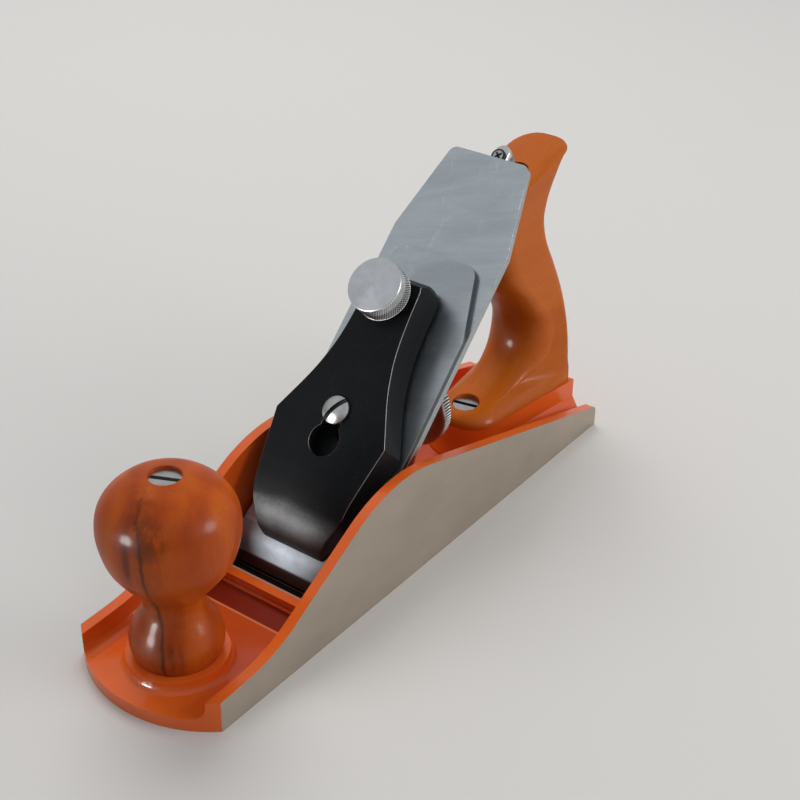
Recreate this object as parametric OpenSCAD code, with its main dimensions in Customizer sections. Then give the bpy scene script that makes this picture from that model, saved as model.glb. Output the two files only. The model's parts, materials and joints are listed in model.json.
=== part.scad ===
// Bench smoothing plane with a screw-clamped lever cap, toe towards -Y, sole on z = 0.
// Pieces that follow the blade are drawn in bed coordinates: x across, y up the slope
// from the sole, z square to the blade's top face.

/* [Body] */
// Length of the sole
body_l = 248; // [236:1:270]
// Width of the sole
body_w = 63.5; // [60:0.5:70]
// Thickness of each side wall
wall_t = 4; // [3:0.5:5]
// Thickness of the sole plate
sole_t = 5; // [4:0.5:6]
// How far the rounded toe stands out past its corners
toe_bow = 12.4; // [8:0.2:16]
// Height of the side walls at the toe
toe_h = 11.5; // [9:0.5:13]
// Height of the side walls at the heel
heel_h = 8.8; // [7:0.2:11]
// Height of the rounded hump of the side walls
hump_h = 45.5; // [40:0.5:50]
// Distance of the hump behind the toe's end
hump_at = 110; // [104:1:116]
// Radius of the hump
hump_r = 56; // [40:1:60]
// Radius of the hollow in front of the hump
hollow_r = 54; // [30:1:60]
// Slope of the walls in front of the hump, degrees
front_slope = 29.5; // [26:0.5:32]
// Distance of the mouth's front edge behind the toe's end
mouth_at = 74.5; // [70:0.5:78]
// Width of the mouth
mouth_w = 54; // [52:0.5:55]
// Gap between the mouth's front edge and the plane of the blade
mouth_gap = 2; // [1:0.5:3]
// Height of the rib in front of the mouth
rib_h = 8; // [6.5:0.5:9]
// Height of the pad under the knob
knob_boss_h = 9; // [7.5:0.5:10]
// Height of the pad under the handle
handle_pad_h = 18; // [16:0.5:19]
// Height of the seat that carries the frog
frog_seat_h = 9; // [8:0.5:10]

/* [Blade] */
// Width of the blade
blade_w = 50.8; // [48:0.2:52]
// Thickness of the blade
blade_t = 3; // [2.4:0.1:3.4]
// Length of the blade from its edge
blade_l = 176; // [168:1:182]
// Width of the blade's top end
blade_top_w = 34.4; // [30:0.5:40]
// Length of the tapered top of the blade
blade_taper = 36; // [30:1:42]
// Distance of the cutting edge above the sole, along the bed
edge_rest = 5; // [4:0.5:7]
// Width of the slot in the blade
slot_w = 11.1; // [10.9:0.1:11.5]
// Thickness of the chip breaker
breaker_t = 2.5; // [2:0.1:3]
// Distance of the chip breaker's edge behind the cutting edge
breaker_back = 3.9; // [2.9:0.2:4.9]
// Length of the chip breaker
breaker_l = 128.6; // [126:0.2:131]
// Width of the chip breaker's top end
breaker_top_w = 34; // [28:1:40]

/* [Frog] */
// Width of the frog
frog_w = 49; // [46:0.5:50]
// Distance from the sole to the frog's top, along the bed
frog_top = 104; // [102:0.5:107]
// Thickness of the frog's face
face_t = 8; // [7:0.5:9]
// Height of the depth wheel's axis
wheel_z = 42; // [41:0.5:43]
// Diameter of the depth wheel
wheel_d = 34; // [28:1:35]
// Thickness of the depth wheel's knurled rim
rim_t = 5.5; // [4:0.5:6]
// Diameter of the depth wheel's threaded stud
stud_d = 7; // [6:0.5:8]
// Width of the groove in the depth wheel's hub
groove_w = 5.2; // [5:0.1:5.6]
// Thickness of the yoke's fork
fork_t = 1.6; // [1.2:0.1:1.8]
// Distance up the bed from the sole to the yoke's pin
yoke_at = 90; // [89:0.5:91]
// Depth of the yoke's pin under the blade's top face
yoke_deep = 12; // [11:0.5:13]

/* [Lever cap] */
// Length of the lever cap
cap_l = 106.5; // [104:0.5:109]
// Height of the cap's top face over the blade, at its lower end
cap_low = 17.3; // [16:0.1:18]
// Height of the cap's top face over the blade, at its upper end
cap_high = 20.3; // [19:0.1:21]
// Width of the lever cap at its widest
cap_w = 49; // [46:0.5:50]
// Thickness of the cap's casting
cap_wall = 3; // [2.5:0.1:3.6]
// Distance up the bed from the sole to the lever cap screw
screw_at = 67.5; // [66:0.5:69]
// Diameter of the lever cap screw's head
screw_head_d = 10.4; // [9.5:0.1:11]
// Travel of the cap from its keyhole's neck to its round hole
release = 11.3; // [11:0.1:12]
// Diameter of the knob on the lever cap
turn_knob_d = 21; // [18:0.5:24]
// Thickness of that knob's knurled edge
turn_knob_t = 6; // [5:0.5:7]

/* [Lateral lever] */
// Distance up the bed from the sole to the lever's pivot
pivot_at = 98.5; // [98:0.25:99]
// Distance from the pivot to the roller
roller_arm = 11; // [10.5:0.25:11.5]
// Diameter of the roller
roller_d = 9.5; // [9:0.1:9.7]
// Width of the lever's stem
lever_w = 9; // [8:0.5:10]
// Thickness of the lever
lever_t = 2; // [1.6:0.1:2.1]

/* [Knob and handle] */
// Distance of the knob's axis behind the toe's end
knob_at = 26; // [24:0.5:28]
// Diameter of the knob's ball
ball_d = 47; // [42:0.5:50]
// Height of the knob
knob_h = 70.5; // [64:0.5:76]
// Height of the handle
handle_h = 100; // [97:1:103]
// Width of the handle's foot at the heel
foot_w = 37.2; // [34:0.2:38]
// Thickness of the grip
grip_w = 24.6; // [22:0.2:25]
// Diameter of the rods through the knob and the handle
rod_d = 5.6; // [5:0.1:6]
// Diameter of the slotted nuts on the rods
nut_d = 10.6; // [10:0.1:11.5]

/* [Fits] */
// Radial clearance of pins and screws that turn
run_fit = 0.05; // [0.02:0.01:0.08]
// Gap between flat faces that slide on each other
slide_gap = 0.05; // [0.02:0.01:0.1]
// Radial clearance round screws and rods that are drawn tight
bolt_fit = 0.3; // [0.2:0.05:0.4]

/* [Hidden] */
$fn = 64;

// Enamel, ground iron, steel, brass and lacquered wood
enamel = [0.88, 0.31, 0.11];
steel = [0.62, 0.65, 0.67];
bright = [0.78, 0.78, 0.76];
black = [0.10, 0.11, 0.12];
wood = [0.72, 0.36, 0.14];

eps = 0.01;
toe_y = -body_l / 2;
heel_y = body_l / 2;
toe_corner_y = toe_y + toe_bow;
mouth_y = toe_y + mouth_at;
bed_y = mouth_y + mouth_gap;
bed_angle = 45;
inner_w = body_w - 2 * wall_t;
knob_y = toe_y + knob_at;
frog_gap = blade_t + slide_gap;

// A corner (p, r) of an outline is rounded to radius r: points of the arc tangent to both sides
function arc_points(a, p, b, r, n) =
    let (u = (a - p) / norm(a - p), v = (b - p) / norm(b - p),
         half = acos(u * v) / 2, m = (u + v) / norm(u + v),
         c = p + m * r / sin(half), t1 = p + u * r / tan(half) - c, t2 = p + v * r / tan(half) - c)
    [for (i = [0:n]) let (w = t1 * (1 - i / n) + t2 * i / n) c + w / norm(w) * r];
function rounded(points, n = 10) =
    let (k = len(points))
    [for (i = [0:k - 1]) let (q = points[i], p = [q[0], q[1]],
          a = points[(i + k - 1) % k], b = points[(i + 1) % k])
        each (q[2] > 0 ? arc_points([a[0], a[1]], p, [b[0], b[1]], q[2], n) : [p])];

// A smooth curve through the points, with n steps between each two (Catmull-Rom)
function curve(points, n = 6) =
    let (k = len(points) - 1)
    concat([for (i = [0:k - 1], j = [0:n - 1])
        let (t = j / n, a = points[max(i - 1, 0)], b = points[i],
             c = points[i + 1], d = points[min(i + 2, k)])
        (2 * b + (c - a) * t + (2 * a - 5 * b + 4 * c - d) * t * t
            + (3 * b - a - 3 * c + d) * t * t * t) / 2], [points[k]]);

// An outline drawn in (y, z) and carried across the plane from x to x + w
module across(w, x = undef) {
    translate([is_undef(x) ? -w / 2 : x, 0, 0]) rotate([90, 0, 90]) linear_extrude(w) children();
}
module bed() { translate([0, bed_y, 0]) rotate([bed_angle, 0, 0]) children(); }
module both_sides() {
    children();
    mirror([1, 0, 0]) children();
}
// Where a point of the bed lies in the plane's own frame
function bed_yz(l, o) = [bed_y + (l - o) * cos(bed_angle), (l + o) * sin(bed_angle)];

// Body

// The walls' top edge: a line up from the toe, the hump's arc, and a line from it down to the heel
hump_c = [toe_y + hump_at, hump_h - hump_r];
to_heel = [heel_y, heel_h] - hump_c;
back_slope = asin(hump_r / norm(to_heel)) - atan2(to_heel[1], to_heel[0]);
front_normal = [-sin(front_slope), cos(front_slope)];
back_normal = [sin(back_slope), cos(back_slope)];
apex = hump_c + hump_r * (front_normal + back_normal) / (1 + front_normal * back_normal);
toe_rise = 1.7;
bend_z = toe_h + toe_rise;
bend_y = apex[0] - (apex[1] - bend_z) / tan(front_slope);
heel_round = 3;

wall_profile = rounded([[toe_y, 0, 0], [heel_y, 0, 0], [heel_y, heel_h, heel_round],
                        [apex[0], apex[1], hump_r], [bend_y, bend_z, hollow_r], [toe_y, toe_h, 0]], 16);

toe_r = (body_w * body_w / 4 + toe_bow * toe_bow) / (2 * toe_bow);
module toe_outline() {
    intersection() {
        translate([-body_w / 2, toe_y]) square([body_w, body_l]);
        union() {
            translate([0, toe_y + toe_r]) circle(toe_r, $fn = 160);
            translate([-body_w / 2, toe_corner_y + 8]) square([body_w, body_l]);
        }
    }
}

fillet = 4.5;
// Cross-section of the space between the walls, with filleted floor corners
module trough() {
    translate([-inner_w / 2, sole_t + fillet]) square([inner_w, hump_h + 10]);
    translate([-inner_w / 2 + fillet, sole_t]) square([inner_w - 2 * fillet, hump_h]);
    both_sides() translate([inner_w / 2 - fillet, sole_t + fillet]) circle(fillet);
}

seat_front = bed_yz(frog_seat_h * sqrt(2) + frog_gap, -frog_gap)[0];
seat_back = bed_yz(0, 0)[0] + 64;
rib_t = 4.5;
rib_from = 7;
pocket_l = 10;
pocket_deep = 1.2;
boss_r = 20.5;
boss_flare = 3;
pad_front_r = 13.5;
pad_front_y = heel_y - 64 + pad_front_r;
pad_heel_x = foot_w / 2 + 1.4;
pad_flare = 5;
mouth_relief = 1;

// Hollow corner of radius r between the floor and an upright face, sunk so that it cuts the floor
flare_sink = 0.15;
module flare(r) difference() {
    translate([-1, -1]) square(r + 1);
    translate([r, r - flare_sink]) circle(r);
}

// Pad under the handle, with a sloping foot where it meets the floor
module pad_outline(grow = 0) {
    translate([0, pad_front_y]) circle(pad_front_r + grow);
    polygon([[-pad_front_r - grow, pad_front_y], [pad_front_r + grow, pad_front_y],
             [pad_heel_x + grow, heel_y], [-pad_heel_x - grow, heel_y]]);
}
module handle_pad() {
    linear_extrude(handle_pad_h - 1) pad_outline();
    hull() {
        linear_extrude(sole_t - 1 + pad_flare) pad_outline();
        linear_extrude(sole_t - 1) pad_outline(pad_flare * 0.6);
    }
}

frog_screw_x = 15;
frog_screw_y = bed_y + 39.5;
frog_screw_d = 5.8;
rib_w = 10;
rib_end_y = seat_back - 5;
adjust_z = 14.5;
adjust_d = 5;
handle_rod_foot_y = heel_y - 13.5;
handle_rod_lean = 7.1;
toe_screw_y = heel_y - 53;
toe_screw_d = 4.8;

module body() color(enamel) difference() {
    union() {
        intersection() {
            linear_extrude(hump_h + 20) toe_outline();
            union() {
                both_sides() across(wall_t, body_w / 2 - wall_t) polygon(wall_profile);
                difference() {
                    across(inner_w + 2) polygon(wall_profile);
                    translate([0, heel_y + 1, 0]) rotate([90, 0, 0])
                        linear_extrude(body_l + 2) trough();
                }
            }
        }
        // Rib that stiffens the mouth's front edge
        translate([-inner_w / 2 - eps, mouth_y - rib_from, 0]) cube([inner_w + 2 * eps, rib_t, rib_h]);
        // Pad with a flared foot under the knob
        translate([0, knob_y, sole_t - 1]) cylinder(r = boss_r - boss_flare, h = knob_boss_h - sole_t + 1);
        translate([0, knob_y, sole_t]) rotate_extrude() translate([boss_r - boss_flare, 0]) flare(boss_flare);
        // Seat for the frog
        translate([-frog_w / 2 - 0.5, seat_front - 4, 1]) cube([frog_w + 1, seat_back - seat_front + 4,
                                                              frog_seat_h - 1]);
        // Spine that guides the frog and takes its adjusting screw
        translate([-rib_w / 2, rib_end_y - 18, 1]) cube([rib_w, 18, adjust_z + 5]);
        translate([0, 0, 1]) handle_pad();
    }
    // Pocket between the knob's pad and the mouth rib
    translate([-inner_w / 2 + fillet, mouth_y - rib_from - pocket_l - 1.5, sole_t - pocket_deep])
        cube([inner_w - 2 * fillet, pocket_l, 10]);
    // Mouth, open behind as far as the bed
    translate([-mouth_w / 2, 0, 0]) across(mouth_w, 0) polygon([
        [mouth_y, -1], [mouth_y, rib_h + 3], bed_yz(20, -frog_gap - mouth_relief) + [0, 0],
        [bed_y + (frog_gap + mouth_relief) * sqrt(2) - 1, -1]]);
    // Threaded holes for the frog's screws, the rods and the adjusting screw
    both_sides() translate([frog_screw_x, frog_screw_y, 1.5])
        cylinder(d = frog_screw_d + 2 * run_fit, h = 20);
    translate([0, knob_y, 1.5]) cylinder(d = rod_d + 2 * run_fit, h = 20);
    translate([0, toe_screw_y, 6]) cylinder(d = toe_screw_d + 2 * run_fit, h = 20);
    handle_rod_place() translate([0, 0, -12]) cylinder(d = rod_d + 2 * run_fit, h = 20);
    translate([0, rib_end_y - 15, adjust_z]) rotate([-90, 0, 0])
        cylinder(d = adjust_d + 2 * run_fit, h = 20);
}

// Frog

back_y = bed_y + 62.9;
foot_gap = rib_w / 2 + 2;
foot_t = 6;
cheek_t = 5;
stud_y = back_y - 3.9;
cap_screw_d = 7;
cap_screw_deep = frog_gap + 8.4;
breaker_screw_at = 46;
breaker_head_d = 20;
breaker_head_t = 3.4;
pivot_d = 5;
yoke_pin_d = 4;
yoke_w = 8.4;
yoke_yz = bed_yz(yoke_at, -yoke_deep);
fork_plate_t = 1.4;
fork_plate_y = back_y;
lug_r = 4.2;

// The frog's side outline: bed, top edge, underside of the face, back and foot
frog_outline = [[seat_front, frog_seat_h], bed_yz(frog_top, -frog_gap),
                bed_yz(frog_top, -frog_gap - face_t),
                [back_y, back_y - bed_y - (frog_gap + face_t) * sqrt(2)], [back_y, frog_seat_h]];
face_outline = [[seat_front, frog_seat_h], bed_yz(frog_top, -frog_gap),
                bed_yz(frog_top, -frog_gap - face_t),
                [seat_front + (face_t) * sqrt(2), frog_seat_h]];

// The cheeks under the face, low enough to stay behind the body's walls
cheek_top = 50;
cheek_outline = [[seat_front, frog_seat_h], bed_yz(cheek_top, -frog_gap),
                 bed_yz(cheek_top, -frog_gap - face_t - 6), [back_y, frog_seat_h + 11],
                 [back_y, frog_seat_h]];
// The face, full width below and drawn in towards its top
neck_x = 17;
module face_plan() polygon([
    [-frog_w / 2, 0], [frog_w / 2, 0], [frog_w / 2, cheek_top + 3], [neck_x, cheek_top + 30],
    [neck_x, frog_top + 5], [-neck_x, frog_top + 5], [-neck_x, cheek_top + 30], [-frog_w / 2, cheek_top + 3]]);

module frog() color(enamel) difference() {
    union() {
        intersection() {
            across(frog_w) polygon(face_outline);
            bed() translate([0, 0, -60]) linear_extrude(80) face_plan();
        }
        both_sides() across(cheek_t, frog_w / 2 - cheek_t) polygon(cheek_outline);
        both_sides() translate([foot_gap, seat_front + 8, frog_seat_h])
            cube([frog_w / 2 - foot_gap, back_y - seat_front - 8, foot_t]);
        // Block behind the face that takes the lever cap screw, the stud and the fork's screw
        intersection() {
            across(17) polygon(frog_outline);
            translate([-10, back_y - 24, adjust_z + 8]) cube([20, 40, 40]);
        }
        translate([0, back_y - 4, wheel_z]) rotate([-90, 0, 0]) cylinder(d = stud_d + 6, h = 8);
        // Lugs for the yoke's pin
        across(24) intersection() {
            translate(yoke_yz) circle(lug_r);
            polygon([bed_yz(0, -frog_gap - 1), bed_yz(frog_top, -frog_gap - 1), bed_yz(frog_top, -30),
                     bed_yz(0, -30)]);
        }
    }
    // Channel over the body's spine
    translate([-foot_gap, seat_front - 10, 0]) cube([2 * foot_gap, body_l, adjust_z + 6.5]);
    // Slots in the feet and wells down to them for the frog's screws
    both_sides() for (dy = [-2.5:2.5:2.5]) translate([frog_screw_x, frog_screw_y + dy, 0]) {
        cylinder(d = frog_screw_d + 2 * bolt_fit, h = 30);
        translate([0, 0, frog_seat_h + foot_t]) cylinder(d = 12.6, h = 60);
    }
    bed() {
        // Hollow for the chip breaker's screw
        translate([0, breaker_screw_at, -frog_gap - breaker_head_t - 1.2]) {
            for (dy = [-2, 2]) translate([0, dy, 0]) cylinder(d = breaker_head_d + 2, h = 20);
        }
        translate([0, screw_at, -cap_screw_deep - 0.5]) cylinder(d = cap_screw_d + 2 * run_fit, h = 30);
        // Slot for the yoke's nose
        translate([-yoke_w / 2 - 0.3, yoke_at - 6.5, -40]) cube([yoke_w + 0.6, 12.5, 60]);
        // Recess for the lateral lever
        translate([0, pivot_at, -frog_gap - lever_t - 0.2]) {
            cylinder(d = lever_w + 4.5, h = 20);
            translate([-lever_w / 2 - 2.2, 0, 0]) cube([lever_w + 4.4, 20, 20]);
        }
        translate([0, pivot_at, -40]) cylinder(d = pivot_d + 2 * run_fit, h = 60);
    }
    across(60) translate(yoke_yz) circle(d = yoke_pin_d + 2 * run_fit);
    translate([0, stud_y, wheel_z]) rotate([-90, 0, 0]) cylinder(d = stud_d + 2 * run_fit, h = 30);
    translate([0, back_y - 7, adjust_z + 13]) rotate([-90, 0, 0])
        cylinder(d = 4 + 2 * run_fit, h = 30);
}

module slotted_head(d, h, slot = 1.4, deep = 1.6, turn = 0) difference() {
    cylinder(d = d, h = h);
    rotate([0, 0, turn]) translate([-d, -slot / 2, h - deep]) cube([2 * d, slot, deep + 1]);
}

washer_t = 1.2;
module frog_washers() color(steel) both_sides()
    translate([frog_screw_x, frog_screw_y, frog_seat_h + foot_t + slide_gap]) difference() {
        cylinder(d = 10.6, h = washer_t);
        translate([0, 0, -1]) cylinder(d = frog_screw_d + 2 * run_fit, h = washer_t + 2);
    }

module frog_screws() color(steel) both_sides() translate([frog_screw_x, frog_screw_y, 0]) {
    translate([0, 0, 2]) cylinder(d = frog_screw_d, h = frog_seat_h + foot_t + washer_t);
    translate([0, 0, frog_seat_h + foot_t + slide_gap + washer_t]) slotted_head(9, 3.5);
}

// The adjusting screw's collar and head hold the fork plate between them
neck_w = fork_plate_t + 0.4;
module frog_adjust_screw() color(steel) translate([0, rib_end_y, adjust_z]) rotate([-90, 0, 0]) {
    adjust_head = back_y - rib_end_y - 0.2;
    translate([0, 0, -12]) cylinder(d = adjust_d, h = adjust_head + 14);
    translate([0, 0, adjust_head - 1.4]) cylinder(d = 9, h = 1.4);
    translate([0, 0, adjust_head + neck_w]) slotted_head(9, 3.4);
}

module frog_fork() color(steel) translate([0, fork_plate_y, 0]) rotate([90, 0, 0])
    translate([0, 0, -fork_plate_t]) linear_extrude(fork_plate_t) difference() {
        union() {
            translate([-6.5, adjust_z - 4]) square([13, 17]);
            translate([0, adjust_z + 13]) circle(6.5);
        }
        translate([0, adjust_z]) circle(d = adjust_d + 2 * run_fit);
        translate([-adjust_d / 2 - run_fit, 0]) square([adjust_d + 2 * run_fit, adjust_z]);
        translate([0, adjust_z + 13]) circle(d = 4 + 2 * run_fit);
    }

module frog_fork_screw() color(steel)
    translate([0, back_y + fork_plate_t, adjust_z + 13]) rotate([-90, 0, 0]) {
        translate([0, 0, -7]) cylinder(d = 4, h = 8);
        slotted_head(7.5, 2.2, 1.1, 1);
    }

// Blade and chip breaker

module slot_outline(w, from, to) {
    translate([-w / 2, from + w / 2]) square([w, to - from - w]);
    for (l = [from + w / 2, to - w / 2]) translate([0, l]) circle(d = w);
}

slot_from = 40;
slot_to = 121;
keyhole_d = 22.5;
keyhole_at = 125;
top_corner_r = 3.5;
edge_l = edge_rest;
module blade_outline() polygon(rounded([
    [-blade_w / 2, edge_l, 0], [blade_w / 2, edge_l, 0],
    [blade_w / 2, edge_l + blade_l - blade_taper, 1.5],
    [blade_top_w / 2, edge_l + blade_l, top_corner_r], [-blade_top_w / 2, edge_l + blade_l, top_corner_r],
    [-blade_w / 2, edge_l + blade_l - blade_taper, 1.5]], 6));

module blade() color(steel) bed() difference() {
    translate([0, 0, -blade_t]) linear_extrude(blade_t) difference() {
        blade_outline();
        slot_outline(slot_w, slot_from, slot_to);
        translate([0, keyhole_at]) circle(d = keyhole_d);
    }
    // Ground bevel, on the face towards the frog
    across(blade_w + 2) polygon([[edge_l, 0], [edge_l + blade_t / tan(25), -blade_t],
                                 [edge_l, -blade_t - 1], [edge_l - 1, -blade_t - 1], [edge_l - 1, 0]]);
}

breaker_edge = edge_l + breaker_back;
hump_rise = 1.2;
nose_pin_d = 3.2;
module breaker_outline() polygon(rounded([
    [-blade_w / 2, breaker_edge, 0], [blade_w / 2, breaker_edge, 0],
    [blade_w / 2, breaker_edge + breaker_l - 28, 0],
    [breaker_top_w / 2, breaker_edge + breaker_l, 5.5], [-breaker_top_w / 2, breaker_edge + breaker_l, 5.5],
    [-blade_w / 2, breaker_edge + breaker_l - 28, 0]], 6));

// The plate is sprung: it touches the blade at its edge, humps up, and lies flat from there on
function hump(l) = l <= 0 || l >= 20 ? 0 : hump_rise * (1 - cos(l * 18)) / 2;
module breaker_side() {
    steps = [for (l = [0:2:20]) l];
    polygon(concat([for (l = steps) [breaker_edge + l, hump(l)]],
        [[breaker_edge + breaker_l, 0], [breaker_edge + breaker_l, breaker_t]],
        [for (i = [len(steps) - 1:-1:0]) let (l = steps[i])
            [breaker_edge + l, hump(l) + breaker_t * min(1, 0.16 + l / 6)]]));
}

module chip_breaker() color(steel) bed() difference() {
    intersection() {
        translate([0, 0, -1]) linear_extrude(breaker_t + hump_rise + 2) breaker_outline();
        across(blade_w + 2) breaker_side();
    }
    translate([0, 0, -1]) linear_extrude(10) {
        slot_outline(13, screw_at - 10, screw_at + 11);
        translate([-yoke_w / 2 - 0.2, yoke_at - nose_pin_d / 2 - 0.15])
            square([yoke_w + 0.4, nose_pin_d + 0.3]);
    }
    translate([0, breaker_screw_at, -1]) cylinder(d = 8 + 2 * run_fit, h = 10);
}

module breaker_screw() color(steel) bed() translate([0, breaker_screw_at, 0]) {
    translate([0, 0, -blade_t - 1]) cylinder(d = 8, h = blade_t + 1 + breaker_t - 0.2);
    translate([0, 0, -blade_t]) mirror([0, 0, 1]) slotted_head(breaker_head_d, breaker_head_t, 2, 1.6, 90);
}

// Lever cap

cap_from = 17;
cap_to = cap_from + cap_l;
waist_w = 21.6;
cap_tilt = atan((cap_high - cap_low) / (cap_l - 27));
skirt_o = breaker_t + 2;
rest_o = breaker_t + hump_rise + 0.15;

// Half of the cap's outline, from its nose to its upper end, drawn in by t
function cap_half(t) = let (k = cap_w / 2 - t, e = waist_w / 2 - t)
    concat([[k - 11.3, cap_from + t * 1.2], [k - 10, cap_from + 2.2 + t * 0.6], [k - 7.9, cap_from + 6.8],
            [k - 5.5, cap_from + 11.5], [k - 4.3, cap_from + 16], [k - 3.8, cap_from + 21], [k, cap_from + 44]],
        [for (p = curve([[k, cap_from + 44], [k - 7, cap_from + 59.5], [k - 10.5, cap_from + 70],
            [k - 12.3, cap_from + 79], [e + 0.5, cap_from + 89], [e, cap_to - 6 - t * 0.5]], 4)) p],
        [[e - 1, cap_to - 2.5 - t], [e - 4, cap_to - t]]);
module cap_outline(t = 0) {
    half = cap_half(t);
    polygon(concat(half, [for (i = [len(half) - 1:-1:0]) [-half[i][0], half[i][1]]]));
}

// Side outline of the cap: nose, rounded lower end, long top face and steep upper end
function cap_top(l) = cap_low + (l - cap_from - 27) * tan(cap_tilt);
cap_side = concat(
    [[cap_from, rest_o]],
    curve([[cap_from + 0.2, rest_o + 1.6], [cap_from + 2.6, 10], [cap_from + 7, 13.3],
           [cap_from + 13, 15.4], [cap_from + 20, 16.7], [cap_from + 27, cap_low]], 3),
    [[cap_to - 4, cap_top(cap_to - 4)], [cap_to, 9], [cap_to, skirt_o],
     [cap_from + 10, skirt_o], [cap_from + 7, rest_o]]);
cap_side_inner = concat(
    [[cap_from + 9, 0]],
    curve([[cap_from + 9, 8], [cap_from + 13, 11], [cap_from + 20, 13.2],
           [cap_from + 27, cap_low - cap_wall - 0.5]], 3),
    [[cap_to - 6 - cap_wall, cap_top(cap_to - 6) - cap_wall], [cap_to - cap_wall, 8], [cap_to - cap_wall, 0]]);

turn_at = cap_to - 11.5;
turn_stud_d = 6;
keyhole_neck = cap_screw_d + 2 * bolt_fit;
module lever_cap() color(black) bed() difference() {
    union() {
        difference() {
            intersection() {
                linear_extrude(cap_high + 5) cap_outline();
                across(cap_w + 2) polygon(cap_side);
            }
            intersection() {
                translate([0, 0, -1]) linear_extrude(cap_high + 5) cap_outline(cap_wall);
                across(cap_w + 2) polygon(cap_side_inner);
            }
        }
        translate([0, turn_at, 8]) cylinder(d = 12, h = cap_top(turn_at) - 8.5);
    }
    translate([0, screw_at - release, -1]) cylinder(d = screw_head_d + 1.8, h = 40);
    translate([-keyhole_neck / 2, screw_at - release, -1]) cube([keyhole_neck, release, 40]);
    translate([0, screw_at, -1]) cylinder(d = keyhole_neck, h = 40);
    translate([0, turn_at, -1]) cylinder(d = turn_stud_d + 2 * run_fit, h = 40);
}

module domed_head(d, h, rim) difference() {
    sag = h - rim;
    dome_r = (d * d / 4 + sag * sag) / (2 * sag);
    intersection() {
        cylinder(d = d, h = h);
        translate([0, 0, h - dome_r]) sphere(dome_r, $fn = 96);
    }
    rotate([0, 0, 62]) translate([-d, -0.7, h - 1.5]) cube([2 * d, 1.4, 2]);
}

head_under = cap_top(screw_at + screw_head_d / 2) + 0.15;
module lever_cap_screw() color(bright) bed() translate([0, screw_at, 0]) {
    translate([0, 0, -cap_screw_deep]) cylinder(d = cap_screw_d, h = cap_screw_deep + head_under + 0.5);
    translate([0, 0, head_under]) domed_head(screw_head_d, 2.8, 1.1);
}

turn_collar = 5.2;
module lever_cap_knob() color(bright) bed() translate([0, turn_at, 0]) {
    face = cap_top(turn_at + 5) + 0.25;
    translate([0, 0, breaker_t + slide_gap]) cylinder(d = turn_stud_d, h = face);
    translate([0, 0, face]) cylinder(d = 9, h = turn_collar);
    translate([0, 0, face + turn_collar]) rotate_extrude() polygon([
        [0, 0], [turn_knob_d / 2 - 0.8, 0], [turn_knob_d / 2, 0.8],
        [turn_knob_d / 2, turn_knob_t - 0.6], [turn_knob_d / 2 - 0.6, turn_knob_t], [0, turn_knob_t + 1.2]]);
}

// Depth adjustment

hub_front = yoke_yz[0] - groove_w / 2 - 2;
rim_front = hub_front + 2 + groove_w + 3.3;
hub_d = 18;
groove_d = 13;
module depth_stud() color(steel) translate([0, stud_y + 0.3, wheel_z]) rotate([-90, 0, 0])
    cylinder(d = stud_d, h = rim_front + rim_t + 2.5 - stud_y);

module depth_wheel() color(bright) translate([0, 0, wheel_z]) rotate([-90, 0, 0]) difference() {
    union() {
        translate([0, 0, hub_front]) cylinder(d = groove_d, h = 10);
        translate([0, 0, hub_front]) cylinder(d = hub_d, h = 2);
        translate([0, 0, hub_front + 2 + groove_w]) cylinder(d = hub_d, h = 3.4);
        translate([0, 0, rim_front]) rotate_extrude() polygon([
            [0, 0], [wheel_d / 2 - 0.7, 0], [wheel_d / 2, 0.7], [wheel_d / 2, rim_t - 0.7],
            [wheel_d / 2 - 0.7, rim_t], [hub_d / 2, rim_t], [hub_d / 2 - 1, rim_t + 1], [0, rim_t + 1]]);
    }
    translate([0, 0, hub_front - 1]) cylinder(d = stud_d + 2 * run_fit, h = 40);
}

fork_r = groove_d / 2 + 0.4;
fork_end_z = wheel_z - 2.5;
module yoke() color(enamel) difference() {
    union() {
        across(yoke_w) translate(yoke_yz) circle(r = 4.2);
        // Arm up to the nose that sits in the chip breaker's slot
        bed() {
            translate([0, yoke_at, 0]) {
                across(yoke_w - 1.4) polygon([[-3, -yoke_deep], [3, -yoke_deep], [1.2, -blade_t - 0.5],
                    [1.2, 0.6], [-1.2, 0.6], [-1.2, -blade_t - 0.5]]);
                across(yoke_w - 1.4) translate([0, breaker_t / 2]) circle(d = nose_pin_d);
            }
        }
        // Fork down into the groove of the wheel's hub
        translate([-yoke_w / 2, yoke_yz[0] - fork_t / 2, wheel_z + fork_r + 0.5])
            cube([yoke_w, fork_t, yoke_yz[1] - wheel_z - fork_r]);
        translate([0, yoke_yz[0] + fork_t / 2, wheel_z]) rotate([90, 0, 0]) linear_extrude(fork_t)
            difference() {
                circle(fork_r + 2.6);
                circle(fork_r);
                translate([-30, fork_end_z - wheel_z - 40]) square([60, 40]);
            }
    }
    across(60) translate(yoke_yz) circle(d = yoke_pin_d + 2 * run_fit);
}

module yoke_pin() color(steel) across(24) translate(yoke_yz) circle(d = yoke_pin_d);

// Lateral adjustment

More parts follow.
